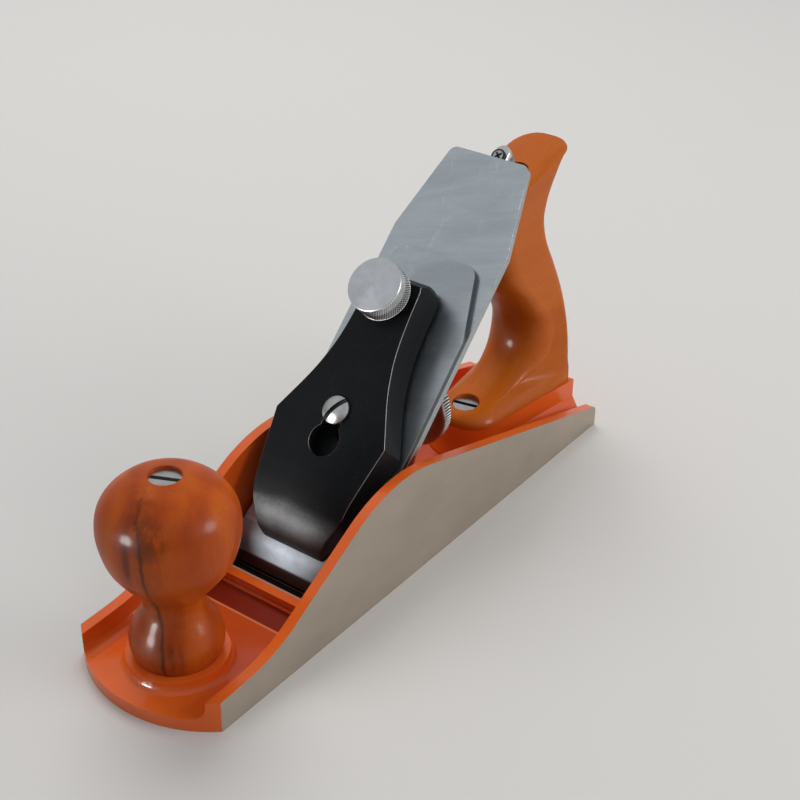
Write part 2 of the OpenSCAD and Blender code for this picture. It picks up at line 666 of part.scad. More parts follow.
joggle_at = edge_rest + blade_l - 45;
lever_o = -blade_t - 2 * slide_gap - lever_t;
tab_t = 3;
tab_l = 17;
joggle = 6;
tab_o = lever_o - joggle;
roller_at = pivot_at + roller_arm;
rivet_d = 3.6;
tab_screw_d = 3;
tab_screw_at = edge_rest + blade_l + 2.5;
tab_end = tab_screw_at + lever_w / 2 + 1;
module lateral_lever() color(steel) bed() difference() {
    union() {
        translate([0, pivot_at, lever_o]) cylinder(d = lever_w + 3, h = lever_t);
        translate([0, roller_at, lever_o]) cylinder(d = lever_w + 1, h = lever_t);
        across(lever_w) polygon([
            [pivot_at, lever_o], [pivot_at, lever_o + lever_t], [joggle_at, lever_o + lever_t],
            [joggle_at + 10, tab_o + lever_t], [tab_screw_at, tab_o + lever_t],
            [tab_screw_at, tab_o], [joggle_at + 9, tab_o], [joggle_at - 1, lever_o]]);
        translate([0, tab_screw_at, tab_o]) cylinder(d = lever_w, h = lever_t);
    }
    translate([0, pivot_at, -40]) cylinder(d = pivot_d + 2 * run_fit, h = 60);
    translate([0, roller_at, -40]) cylinder(d = rivet_d + 2 * run_fit, h = 60);
    translate([0, tab_screw_at, -40]) cylinder(d = tab_screw_d + 2 * run_fit, h = 60);
}

module lateral_pivot() color(steel) bed() translate([0, pivot_at, 0]) {
    translate([0, 0, -frog_gap - face_t - 1]) cylinder(d = pivot_d, h = face_t + 0.9);
    translate([0, 0, -frog_gap - face_t - 1.6]) cylinder(d = 8, h = 1.5);
}

module roller_rivet() color(steel) bed() translate([0, roller_at, 0]) {
    translate([0, 0, lever_o - 0.05]) cylinder(d = rivet_d, h = -lever_o - 0.25);
    translate([0, 0, lever_o - 1.25]) cylinder(d = 5.6, h = 1.2);
}

module lateral_roller() color(bright) bed() translate([0, roller_at, lever_o + lever_t + slide_gap])
    difference() {
        cylinder(d = roller_d, h = blade_t - 0.45);
        translate([0, 0, -1]) cylinder(d = rivet_d + 2 * run_fit, h = 10);
    }

module finger_tab() color(steel) bed() difference() {
    translate([0, 0, tab_o + lever_t]) linear_extrude(tab_t) {
        translate([-lever_w / 2, tab_end - tab_l]) square([lever_w, tab_l - lever_w / 2]);
        translate([0, tab_end - lever_w / 2]) circle(d = lever_w);
    }
    translate([0, tab_screw_at, -40]) cylinder(d = tab_screw_d + 2 * run_fit, h = 60);
}

module finger_tab_screw() color(steel) bed() translate([0, tab_screw_at, 0]) {
    translate([0, 0, tab_o - 0.6]) cylinder(d = tab_screw_d, h = tab_t + lever_t + 0.7);
    translate([0, 0, tab_o + lever_t + tab_t]) difference() {
        cylinder(d = 5.6, h = 1.6);
        for (a = [45, 135]) rotate([0, 0, a]) translate([-1.7, -0.4, 0.7]) cube([3.4, 0.8, 2]);
    }
}

// Knob

nut_sink = 2.4;
nut_h = 8;
ball_z = knob_h - 18.5;
knob_profile = curve([[14.3, 0], [15.6, 3.4], [15.9, 7.5], [14.2, 12.5], [11, 18.2], [10.3, 22],
    [11.6, 26.3], [15.6, 31.4], [ball_d * 0.435, ball_z - 13.5], [ball_d * 0.483, ball_z - 6.5],
    [ball_d / 2, ball_z], [ball_d * 0.476, ball_z + 6.6], [ball_d * 0.4, ball_z + 12],
    [ball_d * 0.272, ball_z + 16.4], [nut_d / 2 + 0.6, knob_h]], 4);

module knob() color(wood) translate([0, knob_y, knob_boss_h + slide_gap]) difference() {
    rotate_extrude($fn = 96) polygon(concat([[0, 0]], knob_profile, [[0, knob_h]]));
    translate([0, 0, -1]) cylinder(d = rod_d + 2 * bolt_fit, h = knob_h + 2);
    translate([0, 0, knob_h - nut_sink - nut_h]) cylinder(d = nut_d + 2 * run_fit, h = nut_h + 5);
}
module knob_rod() color(steel) translate([0, knob_y, 2])
    cylinder(d = rod_d, h = knob_boss_h + knob_h - nut_sink - 6);
module slotted_nut() difference() {
    slotted_head(nut_d, nut_h, 1.8, 2, 25);
    translate([0, 0, -1]) cylinder(d = rod_d + 2 * run_fit, h = nut_h - 2);
}
module knob_nut() color(bright)
    translate([0, knob_y, knob_boss_h + slide_gap + knob_h - nut_sink - nut_h + slide_gap]) slotted_nut();

// Handle: level sections, each [height, front, back, half-width at the front, half-width at the back,
// depth of the round front, radius of the back corners]; front and back are measured from the heel
foot_h = handle_pad_h + slide_gap;
hs = handle_h / 100;
gw = grip_w / 2;
fw = foot_w / 2;
tw = pad_front_r - 0.2;
handle_sections = [
    [0, -63.5, -0.2, tw, fw, 13, 3], [2, -63.5, -0.2, tw - 0.8, fw, 13, 3],
    [4, -62.3, -0.2, 10.8, fw - 0.1, 13, 3], [5.5, -59.2, -0.2, 9, fw - 0.2, 13, 3],
    [6.5, -53, -0.2, 7.6, fw - 0.3, 13, 3], [8, -42, -0.2, 7.6, fw - 0.4, 13, 3.5],
    [11, -33, -0.2, 8.6, fw - 0.6, 13, 4], [16, -26, -0.2, 10, fw - 1, 13, 4],
    [24, -22.5, -0.2, 11.5, fw - 1.8, 12, 4.5], [33, -23.5, -0.8, gw - 0.3, fw - 3, 11.5, 5],
    [44, -31, -3.5, gw - 0.3, gw + 1.9, 10.5, 5], [57, -42.5, -9, gw - 0.9, gw + 0.7, 10, 5],
    [68, -47.5, -14.2, gw - 1.3, gw - 0.3, 10, 5], [78, -48.5, -16.4, gw - 1.5, gw - 0.9, 9, 5],
    [86, -46, -14.4, gw - 1.7, gw - 1.3, 8, 5], [92, -44, -10, gw - 1.8, gw - 1.5, 8, 6],
    [96, -42, -6, gw - 1.8, gw - 1.7, 8, 8], [98, -42, -4, gw - 2.6, gw - 2.6, 8, 9],
    [99.2, -42, -3, gw - 4.6, gw - 4.6, 8, 7]];
// The horn's slanting top: how far it lies from the heel at a height, and its rise
horn_low = 91.5;
horn_rise = 0.205;
function horn_front(h) = min(-41 + (h - horn_low) / horn_rise, -6);

// One closed section, from the middle of its front round to the middle of its back and round again;
// the horn's top cuts the front round off at the angle called start
function handle_half(s) = let (
        front = max(s[1], horn_front(s[0])), round = min(s[5], (s[2] - s[1]) * 0.55),
        start = acos(max(1 - (front - s[1]) / round, 0.1)),
        r = min(s[6], s[4] * 0.9), ry = min(r, s[2] - front - 0.8), k = (s[4] - s[3]) / (s[2] - s[1]))
    concat([[0, front]],
        [for (i = [1:6]) let (a = max(i * 15, start + (90 - start) * (i - 1) / 5))
            [(s[3] + k * round) * pow(sin(a), 0.9), max(s[1] + round * (1 - cos(a)), front + 0.06 * (i - 1))]],
        [for (i = [1:5]) let (a = i * 18) [s[4] - r * (1 - cos(a)), s[2] - ry + ry * sin(a)]],
        [[0, s[2]]]);
function handle_ring(s) = let (half = handle_half(s), n = len(half))
    [for (i = [0:2 * n - 3]) let (p = i < n ? half[i] : [-half[2 * n - 2 - i][0], half[2 * n - 2 - i][1]])
        [p[0], heel_y + p[1], foot_h + s[0] * hs]];

module handle_form() {
    rings = [for (s = curve(handle_sections, 2)) handle_ring(s)];
    n = len(rings[0]);
    k = len(rings);
    polyhedron([for (r = rings) each r], concat(
        [[for (i = [0:n - 1]) i]],
        [for (j = [0:k - 2], i = [0:n - 1]) let (i2 = (i + 1) % n)
            each [[j * n + i, (j + 1) * n + i2, j * n + i2], [j * n + i, (j + 1) * n + i, (j + 1) * n + i2]]],
        [[for (i = [n - 1:-1:0]) (k - 1) * n + i]]), convexity = 6);
}

// Axis of the handle's rod, from the foot upwards
module handle_rod_place() {
    translate([0, handle_rod_foot_y, foot_h]) rotate([handle_rod_lean, 0, 0]) children();
}
rod_nut_z = 90 * hs;
module handle() color(wood) difference() {
    handle_form();
    handle_rod_place() {
        translate([0, 0, -5]) cylinder(d = rod_d + 2 * bolt_fit, h = handle_h + 20);
        translate([0, 0, rod_nut_z - nut_h]) cylinder(d = nut_d + 2 * run_fit, h = 40);
    }
    translate([0, toe_screw_y, foot_h - 1]) cylinder(d = toe_screw_d + 2 * bolt_fit, h = 20);
    translate([0, toe_screw_y, foot_h + 2.6]) cylinder(d = nut_d + 2 * bolt_fit, h = 30);
}
module handle_rod() color(steel) handle_rod_place()
    translate([0, 0, -11]) cylinder(d = rod_d, h = 11 + rod_nut_z - 6);
module handle_nut() color(bright) handle_rod_place()
    translate([0, 0, rod_nut_z - nut_h + slide_gap]) slotted_nut();
module handle_toe_screw() color(bright) translate([0, toe_screw_y, 0]) {
    translate([0, 0, 7]) cylinder(d = toe_screw_d, h = foot_h - 3);
    translate([0, 0, foot_h + 2.6 + slide_gap]) slotted_head(nut_d, 2.8, 1.2, 1.4, 12);
}

body();
frog();
frog_screws();
frog_washers();
frog_adjust_screw();
frog_fork();
frog_fork_screw();
blade();
chip_breaker();
breaker_screw();
lever_cap();
lever_cap_knob();
lever_cap_screw();
depth_stud();
depth_wheel();
yoke();
yoke_pin();
lateral_lever();
lateral_pivot();
lateral_roller();
roller_rivet();
finger_tab();
finger_tab_screw();
knob();
knob_rod();
knob_nut();
handle();
handle_rod();
handle_nut();
handle_toe_screw();
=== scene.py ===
"""A bench smoothing plane: enamelled casting, steel blade, black lever cap, turned and shaped wood.

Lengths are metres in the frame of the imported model: toe towards -Y, sole on z = 0.
"""
import json
import math

import bmesh
import bpy
import numpy as np
from mathutils import Matrix, Vector


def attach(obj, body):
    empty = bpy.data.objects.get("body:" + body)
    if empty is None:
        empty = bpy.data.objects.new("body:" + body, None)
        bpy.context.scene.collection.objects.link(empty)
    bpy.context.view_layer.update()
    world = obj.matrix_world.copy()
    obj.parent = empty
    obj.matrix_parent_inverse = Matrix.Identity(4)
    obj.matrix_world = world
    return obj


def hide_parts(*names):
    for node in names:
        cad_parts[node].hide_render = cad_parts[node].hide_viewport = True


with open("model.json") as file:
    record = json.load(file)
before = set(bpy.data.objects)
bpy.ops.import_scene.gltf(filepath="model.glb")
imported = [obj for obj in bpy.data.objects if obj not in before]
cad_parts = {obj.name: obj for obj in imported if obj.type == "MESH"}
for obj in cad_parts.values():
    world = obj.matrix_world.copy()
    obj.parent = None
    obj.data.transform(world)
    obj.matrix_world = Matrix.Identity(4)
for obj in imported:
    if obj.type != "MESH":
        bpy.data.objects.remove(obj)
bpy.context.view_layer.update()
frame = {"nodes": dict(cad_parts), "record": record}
MM = 0.001
ROOT_HALF = math.sqrt(0.5)
BODY_OF = {n: b for b, nodes in frame["record"]["behaviour"]["bodies"].items() for n in nodes}

# Places on the plane, in mm
BED_Y = -47.5                       # where the plane of the blade's top face meets the sole
HEEL_Y = 124.0
KNOB_Y = -98.0
KNOB_BASE = 9.05
KNOB_H = 69.4
HANDLE_BASE = 18.05
TOE_SCREW_Y = HEEL_Y - 53
WHEEL_Z = 42.0
WHEEL_RIM = (30.5, 36.0)            # the depth wheel's rim along Y
POCKET_Y = (-68.3, -57.5)           # the hollow cast across the floor in front of the mouth
RIB_REAR_Y = -52.0
CAP_SCREW_AT = 67.5                 # the next four are distances up the bed
CAP_KNOB_AT = 112.0
TAB_SCREW_AT = 183.5
TAB_AT = (172.0, 185.6)
TAB_BASE = -3 - 6.1                 # the lever's top face under the finger tab, square to the blade
CAP_KNOB_LOW = 17.3 + (117 - 44) * (3.0 / 79.5) + 0.25
CAP_KNOB_COLLAR, CAP_KNOB_THICK, CAP_KNOB_R = 3.5, 9.1, 10.42

# The knob's main dark streak: its middle, mm aside of the line that faces the toe's right corner, at
# shares of the knob's height
STREAK = ((0.0, -2.3), (0.2, -2.3), (0.32, -3.3), (0.52, -4.6), (0.7, -5.4), (0.82, -5.3), (0.9, -6.8),
          (1.0, -4.5))
# The knob's two dark blots: middle aside, middle height, half-width and half-height
BLOTS = ((-3.5, 68.0, 8.5, 8.0), (0.5, 16.5, 5.0, 7.0))

# Base colours, linear
ORANGE = ((0.71, 0.106, 0.009), (0.79, 0.135, 0.014))
# The next three colours are painted shade on the casting's floor: in the pocket, behind the knob and by the
# mouth
POCKET_SHADE_RED = (0.16, 0.008, 0.002)
TOE_FLOOR_SHADE_RED = (0.36, 0.030, 0.008)
MOUTH_SHADE = (0.012, 0.005, 0.004)
# Ground iron made warm and dark: partly its own colour, partly a painted reflection of a wooden bench
GROUND_IRON_AND_REFLECTION = ((0.36, 0.310, 0.255), (0.46, 0.395, 0.33))
# The next colour is painted shade inside the driver slots of screws and nuts
SLOT_SHADE = (0.004, 0.004, 0.008)
# The next colour darkens the bottoms of the depth wheel's grooves
GROOVE_DARK = (0.05, 0.045, 0.04)
KNOB_BROWNS = ((0.25, (0.26, 0.034, 0.0030)), (0.5, (0.40, 0.062, 0.0045)), (0.78, (0.53, 0.110, 0.0080)))
HANDLE_BROWNS = ((0.25, (0.40, 0.080, 0.0050)), (0.5, (0.49, 0.108, 0.0070)), (0.78, (0.57, 0.140, 0.0110)))
STREAK_BROWN = (0.055, 0.012, 0.005)
HALO_BROWN = (0.13, 0.020, 0.004)
# The next colour is painted shade in the handle's hollow
HOLLOW_SHADE_BROWN = (0.17, 0.028, 0.003)
FLECK_BROWN = (0.26, 0.045, 0.006)
FLOOR_PALE = (0.66, 0.645, 0.62)
# The next colour is painted shade on the floor where the mouth shows it
STAGE_SHADE = (0.03, 0.015, 0.01)


# Shader maths

class Field:
    """A value that changes over a surface; arithmetic on it adds Math nodes."""

    def __init__(self, finish, socket):
        self.finish, self.socket = finish, socket

    def do(self, operation, *values, clamp=False):
        return self.finish.node("ShaderNodeMath", {"operation": operation, "use_clamp": clamp}, *values)

    def __add__(self, other): return self.do("ADD", self, other)
    def __radd__(self, other): return self.do("ADD", other, self)
    def __sub__(self, other): return self.do("SUBTRACT", self, other)
    def __rsub__(self, other): return self.do("SUBTRACT", other, self)
    def __mul__(self, other): return self.do("MULTIPLY", self, other)
    def __rmul__(self, other): return self.do("MULTIPLY", other, self)
    def __truediv__(self, other): return self.do("DIVIDE", self, other)
    def __neg__(self): return self.do("MULTIPLY", self, -1.0)
    def __abs__(self): return self.do("ABSOLUTE", self)
    def __pow__(self, other): return self.do("POWER", self, other)

    def clip(self):
        """Held between 0 and 1."""
        return self.do("ADD", self, 0.0, clamp=True)

    def larger(self, other):
        return self.do("MAXIMUM", self, other)

    def step(self, low, high):
        """0 below low, 1 above high, smooth between them."""
        return self.finish.node("ShaderNodeMapRange", {"interpolation_type": "SMOOTHSTEP"},
                                self, low, high, 0.0, 1.0)

    def fall(self, low, high):
        """1 below low, 0 above high, smooth between them."""
        return 1.0 - self.step(low, high)

    def band(self, start, full, fade, end):
        """0 below start and above end, 1 from full to fade."""
        return self.step(start, full) * self.fall(fade, end)


class Finish:
    """One material: a Principled shader and the fields that feed it."""

    def __init__(self, name):
        self.material = bpy.data.materials.new(name)
        self.material.use_nodes = True
        self.tree = self.material.node_tree
        self.shader = self.tree.nodes["Principled BSDF"]
        self.place = self.node("ShaderNodeTexCoord", {}, out="Object")
        self.x, self.y, self.z = self.parts(self.place)

    def node(self, kind, settings, *values, out=0, **named):
        """A new node: its kind, its settings, then the values or fields of its sockets."""
        made = self.tree.nodes.new(kind)
        for key, value in settings.items():
            if key == "stops":
                ramp = made.color_ramp
                while len(ramp.elements) < len(value):
                    ramp.elements.new(0.5)
                for element, (at, colour) in zip(ramp.elements, value):
                    element.position, element.color = at, (*colour, 1.0)
            else:
                setattr(made, key, value)
        for key, value in [*enumerate(values), *named.items()]:
            self.feed(made.inputs[key], value)
        return Field(self, made.outputs[out])

    def feed(self, socket, value):
        if isinstance(value, Field):
            self.tree.links.new(value.socket, socket)
        elif isinstance(value, tuple) and socket.type == "RGBA" and len(value) == 3:
            socket.default_value = (*value, 1.0)
        else:
            socket.default_value = value

    def parts(self, vector):
        return [self.node("ShaderNodeSeparateXYZ", {}, vector, out=k) for k in "XYZ"]

    def millimetres(self):
        return self.x * 1000, self.y * 1000, self.z * 1000

    def at(self, x=1.0, y=1.0, z=1.0):
        """Object coordinates in mm, scaled along each axis."""
        return self.node("ShaderNodeVectorMath", {"operation": "MULTIPLY"},
                         self.place, (1000 * x, 1000 * y, 1000 * z))

    def vector(self, x, y, z):
        return self.node("ShaderNodeCombineXYZ", {}, x, y, z)

    def noise(self, place, scale=1.0, detail=3.0, rough=0.55, warp=0.0):
        return self.node("ShaderNodeTexNoise", {}, place, Scale=scale, Detail=detail,
                         Roughness=rough, Distortion=warp, out="Fac")

    def mix(self, share, first, second):
        """The first colour where share is 0, the second where it is 1."""
        made = self.node("ShaderNodeMix", {"data_type": "RGBA"}, out=2)
        for key, value in ((0, share), (6, first), (7, second)):    # the colour sockets' places
            self.feed(made.socket.node.inputs[key], value)
        return made

    def ramp(self, share, *stops):
        return self.node("ShaderNodeValToRGB", {"stops": stops}, share)

    def bed(self):
        """Coordinates along the blade (l, up the slope) and square to its face (o), in mm."""
        y, z = self.y * 1000 - BED_Y, self.z * 1000
        return (y + z) * ROOT_HALF, (z - y) * ROOT_HALF

    def normal(self):
        """The three parts of the surface's own direction."""
        return self.parts(self.node("ShaderNodeNewGeometry", {}, out="Normal"))

    def set(self, bump=None, depth=0.0, **values):
        """Feeds the shader's sockets, named with _ for a space, and a bump depth metres high."""
        for key, value in values.items():
            self.feed(self.shader.inputs[key.replace("_", " ")], value)
        if bump is not None:
            normal = self.node("ShaderNodeBump", {}, Strength=1.0, Distance=depth, Height=bump)
            self.feed(self.shader.inputs["Normal"], normal)
        return self.material


def grey(v):
    return (v, v, v)


# Finishes

def enamel(name, ground):
    """Orange enamel with a soft orange-peel skin; where ground, the sides and sole are bare iron."""
    f = Finish(name)
    broad = f.noise(f.at(), 0.03, 3.0, 0.6)
    fine = f.noise(f.at(), 0.9, 2.0, 0.5)
    speck = f.noise(f.at(), 1.6, 1.0, 0.5).step(0.74, 0.80)
    dust = f.noise(f.at(), 0.7, 2.0, 0.6).step(0.55, 0.8) * f.noise(f.at(), 5.0, 1.0, 0.5).step(0.62, 0.7)
    coat = f.ramp(broad, (0.3, ORANGE[0]), (0.7, ORANGE[1]))
    coat = f.mix(speck * 0.7, coat, (0.20, 0.035, 0.008))
    coat = f.mix(dust * 0.25, coat, (0.75, 0.55, 0.42))
    if ground:
        # Painted shade: the pocket and the floor behind the knob are painted a darker red, and the floor by
        # the mouth near black, without coat; the enamel has worn off the rear top edge of the rib between
        # them
        y = f.y * 1000
        front, rear = POCKET_Y
        low = f.z.fall(0.0105, 0.0135)
        within = abs(f.x).fall(0.0278, 0.0292)
        pocket = y.band(front - 1, front + 2, rear - 1, rear) * low * within
        mouth = y.band(RIB_REAR_Y - 0.1, RIB_REAR_Y + 0.3, -38.0, -36.0) * low * within
        line = y.band(RIB_REAR_Y - 0.9, RIB_REAR_Y - 0.6, RIB_REAR_Y, RIB_REAR_Y + 0.2) * low * within
        floor = f.z.fall(0.0052, 0.0062) * y.step(-108.0, -86.0) * within
        # A thin pale line along the pocket's front edge is a painted highlight
        ridge_highlight = y.band(front - 0.9, front - 0.4, front, front + 0.4) * low * abs(f.x).fall(0.018, 0.021)
        coat = f.mix(floor * 0.6, coat, TOE_FLOOR_SHADE_RED)
        coat = f.mix(pocket * 0.9, coat, POCKET_SHADE_RED)
        coat = f.mix(ridge_highlight * 0.5, coat, (0.85, 0.32, 0.14))
        coat = f.mix(mouth * 0.97, coat, MOUTH_SHADE)
        coat = f.mix(line * 0.85, coat, (0.36, 0.33, 0.29))
    peel = f.noise(f.at(), 0.35, 2.0, 0.5) * 0.7 + fine * 0.12
    if not ground:
        return f.set(Base_Color=coat, Roughness=0.30 + fine * 0.1, Coat_Weight=0.5, Coat_Roughness=0.12,
                     Specular_IOR_Level=0.2, bump=peel, depth=0.00012)
    bare = (abs(f.x).step(0.03160, 0.03166) + f.z.fall(0.00010, 0.00018)).clip()
    stroke = f.noise(f.at(1.0, 0.03, 1.0), 2.5, 3.0, 0.6)
    cloud = f.noise(f.at(1.0, 0.6, 1.0), 0.05, 4.0, 0.6)
    grain = f.noise(f.at(), 3.0, 2.0, 0.6)
    # The iron's warm tint is partly a painted reflection of a wooden bench
    iron = f.ramp(cloud * 0.6 + stroke * 0.25 + grain * 0.15, (0.3, GROUND_IRON_AND_REFLECTION[0]), (0.7, GROUND_IRON_AND_REFLECTION[1]))
    dull = (bare + mouth + pocket * 0.8).clip()
    return f.set(Base_Color=f.mix(bare, coat, iron), Metallic=bare * 0.85,
                 Roughness=(1 - bare) * (0.28 + fine * 0.1 + mouth * 0.6) + bare * (0.44 + stroke * 0.14),
                 Coat_Weight=(1 - dull) * 0.5, Coat_Roughness=0.12, Specular_IOR_Level=0.2,
                 bump=peel * (1 - bare) + stroke * bare * 0.08, depth=0.00012)


def ground_steel(name, low, high, rough, tip, tip_to, tip_rough, side):
    """Satin steel: fine grinding strokes that lie slantwise across, cloudy wear and faint scuffs. The
    lower end, up to tip_to mm along the bed, has the colour and roughness of tip, and the long edges
    are darkened by side."""
    f = Finish(name)
    l, o = f.bed()
    x = f.x * 1000
    place = f.vector((x + l * 0.35) * 0.05, (l - x * 0.35) * 0.9, o * 0.9)
    stroke = f.noise(place, 2.4, 4.0, 0.7)
    broad = f.noise(f.vector((x + l * 0.35) * 0.25, l - x * 0.35, o), 0.10, 4.0, 0.65, 0.8)
    scuff = f.noise(f.vector(x * 0.9, l * 0.3, o), 0.22, 3.0, 0.6, 1.2).step(0.55, 0.72)
    tone = broad * 0.6 + stroke * 0.3 + scuff * 0.1
    end = l.fall(tip_to - 0.4, tip_to + 0.4)
    # side paints the long edge faces darker: painted shade along the blade's and the breaker's edges
    edge = abs(f.normal()[0]).step(0.3, 0.7) * side
    face = f.mix(edge, f.ramp(tone, (0.32, low), (0.68, high)), grey(0.03))
    return f.set(Base_Color=f.mix(end, face, tip), Metallic=1.0,
                 Roughness=rough + end * tip_rough + stroke * 0.10 + scuff * 0.06,
                 bump=stroke, depth=0.000006)


def plain_steel(name):
    """Dark, dull steel for rods, pins, small screws and the lateral lever."""
    f = Finish(name)
    cloud = f.noise(f.at(), 0.4, 3.0, 0.6)
    return f.set(Base_Color=f.ramp(cloud, (0.3, grey(0.30)), (0.7, grey(0.46))), Metallic=1.0,
                 Roughness=0.34 + cloud * 0.14, bump=cloud, depth=0.00002)


def bright_steel(name):
    """Brighter, smoother steel with faint blotches."""
    f = Finish(name)
    cloud = f.noise(f.at(), 0.5, 3.0, 0.6)
    ring = f.noise(f.at(), 2.5, 2.0, 0.6)
    return f.set(Base_Color=f.ramp(cloud, (0.3, (0.62, 0.61, 0.58)), (0.7, (0.74, 0.73, 0.70))),
                 Metallic=1.0, Roughness=0.24 + cloud * 0.10 + ring * 0.06, bump=ring, depth=0.00002)


def wheel_steel(name):
    """Bright steel, darker down in the grooves of the depth wheel's rim."""
    f = Finish(name)
    cloud = f.noise(f.at(), 0.5, 3.0, 0.6)
    x, y, z = f.millimetres()
    out = (x ** 2.0 + (z - WHEEL_Z) ** 2.0) ** 0.5
    low, high = WHEEL_RIM
    groove = out.band(15.5, 16.0, 16.72, 16.92) * y.band(low + 0.3, low + 0.7, high - 0.8, high - 0.3)
    bright = f.ramp(cloud, (0.3, (0.52, 0.51, 0.48)), (0.7, (0.64, 0.63, 0.60)))
    return f.set(Base_Color=f.mix(groove * 0.9, bright, GROOVE_DARK), Metallic=1.0,
                 Roughness=0.26 + cloud * 0.12)


def slotted_steel(name, turn, half, place):
    """Bright steel of a screw or nut whose driver slot is dark inside. place gives the two coordinates
    over its head in mm; the slot lies at turn degrees, half of it to each side of its middle line."""
    f = Finish(name)
    u, v = place(f)
    across = abs(v * math.cos(math.radians(turn)) - u * math.sin(math.radians(turn)))
    # The slot's near-black colour is painted shade inside it
    dark = across.fall(half - 0.15, half + 0.1)
    cloud = f.noise(f.at(), 0.5, 3.0, 0.6)
    bright = f.ramp(cloud, (0.3, (0.50, 0.50, 0.485)), (0.7, (0.62, 0.62, 0.60)))
    return f.set(Base_Color=f.mix(dark, bright, SLOT_SHADE), Metallic=1.0 - dark,
                 Roughness=0.24 + cloud * 0.12 + dark * 0.4)


def tab_screw_steel(name):
    """The finger tab's screw: a black ring round a small head with a dark cross in it."""
    f = Finish(name)
    x, l = f.x * 1000, f.bed()[0] - TAB_SCREW_AT
    out = (x ** 2.0 + l ** 2.0) ** 0.5
    cross = abs(x - l).fall(0.45, 0.8).larger(abs(x + l).fall(0.45, 0.8))
    # The dark cross is painted shade, standing for a cross recess
    dark = (out.step(1.95, 2.15) + cross * out.fall(1.4, 1.6)).clip()
    return f.set(Base_Color=f.mix(dark, grey(0.55), grey(0.006)), Metallic=1.0 - dark,
                 Roughness=0.3 + dark * 0.3)


def spun_aluminium(name):
    """Face turned to a cone, and a knurled edge that is darker down in its grooves."""
    f = Finish(name)
    l, o = f.bed()
    cloud = f.noise(f.at(), 0.35, 3.0, 0.6)
    out = ((f.x * 1000) ** 2.0 + (l - CAP_KNOB_AT) ** 2.0) ** 0.5
    groove = out.fall(CAP_KNOB_R - 0.24, CAP_KNOB_R - 0.04) * (o - CAP_KNOB_LOW).fall(8.1, 8.4)
    face = f.ramp(cloud, (0.3, (0.60, 0.615, 0.63)), (0.7, (0.68, 0.695, 0.71)))
    return f.set(Base_Color=f.mix(groove * 0.9, face, (0.10, 0.09, 0.07)), Metallic=1.0,
                 Roughness=0.25 + cloud * 0.08)


def cap_black(name):
    """Satin black enamel with a painted highlight along the long edges of its top, coloured and finished as
    bright bare metal; the lower end is ground back to iron.
    """
    f = Finish(name)
    l, o = f.bed()
    width = abs(f.x * 1000)
    wander = f.noise(f.at(), 0.09, 2.0, 0.5) - 0.5
    nose = (l + width * width * 0.006 + wander * 4).fall(29.5, 34.0)
    nose = nose * width.fall(19.0, 21.0) * o.step(5.0, 7.0)
    polish = width.fall(9.0, 18.0) * (l + wander * 5).fall(25.0, 30.0)
    cloud = f.noise(f.at(), 0.12, 4.0, 0.6)
    peel = f.noise(f.at(), 0.8, 3.0, 0.6)
    dust = f.noise(f.at(), 2.2, 1.0, 0.5).step(0.70, 0.75)
    nx, ny, nz = f.normal()
    # edge: a painted highlight along the top's long edges
    edge = abs(nx).step(0.30, 0.55) * ((nz - ny) * ROOT_HALF).step(0.30, 0.55) * o.step(15.5, 16.5)
    paint = f.ramp(cloud, (0.3, (0.0035, 0.0045, 0.0055)), (0.7, (0.006, 0.0075, 0.009)))
    paint = f.mix(dust * 0.35, paint, grey(0.09))
    paint = f.mix(edge * 0.7, paint, (0.42, 0.42, 0.40))
    iron = f.mix(polish, f.ramp(peel, (0.3, grey(0.035)), (0.7, grey(0.06))),
                 f.ramp(cloud * 0.6 + peel * 0.4, (0.3, grey(0.06)), (0.7, grey(0.10))))
    return f.set(Base_Color=f.mix(nose, paint, iron), Metallic=(nose * 0.75 + edge * 0.5).clip(),
                 Roughness=0.40 + peel * 0.12 + nose * 0.04 - edge * 0.1, Specular_IOR_Level=0.13,
                 bump=peel, depth=0.00005)


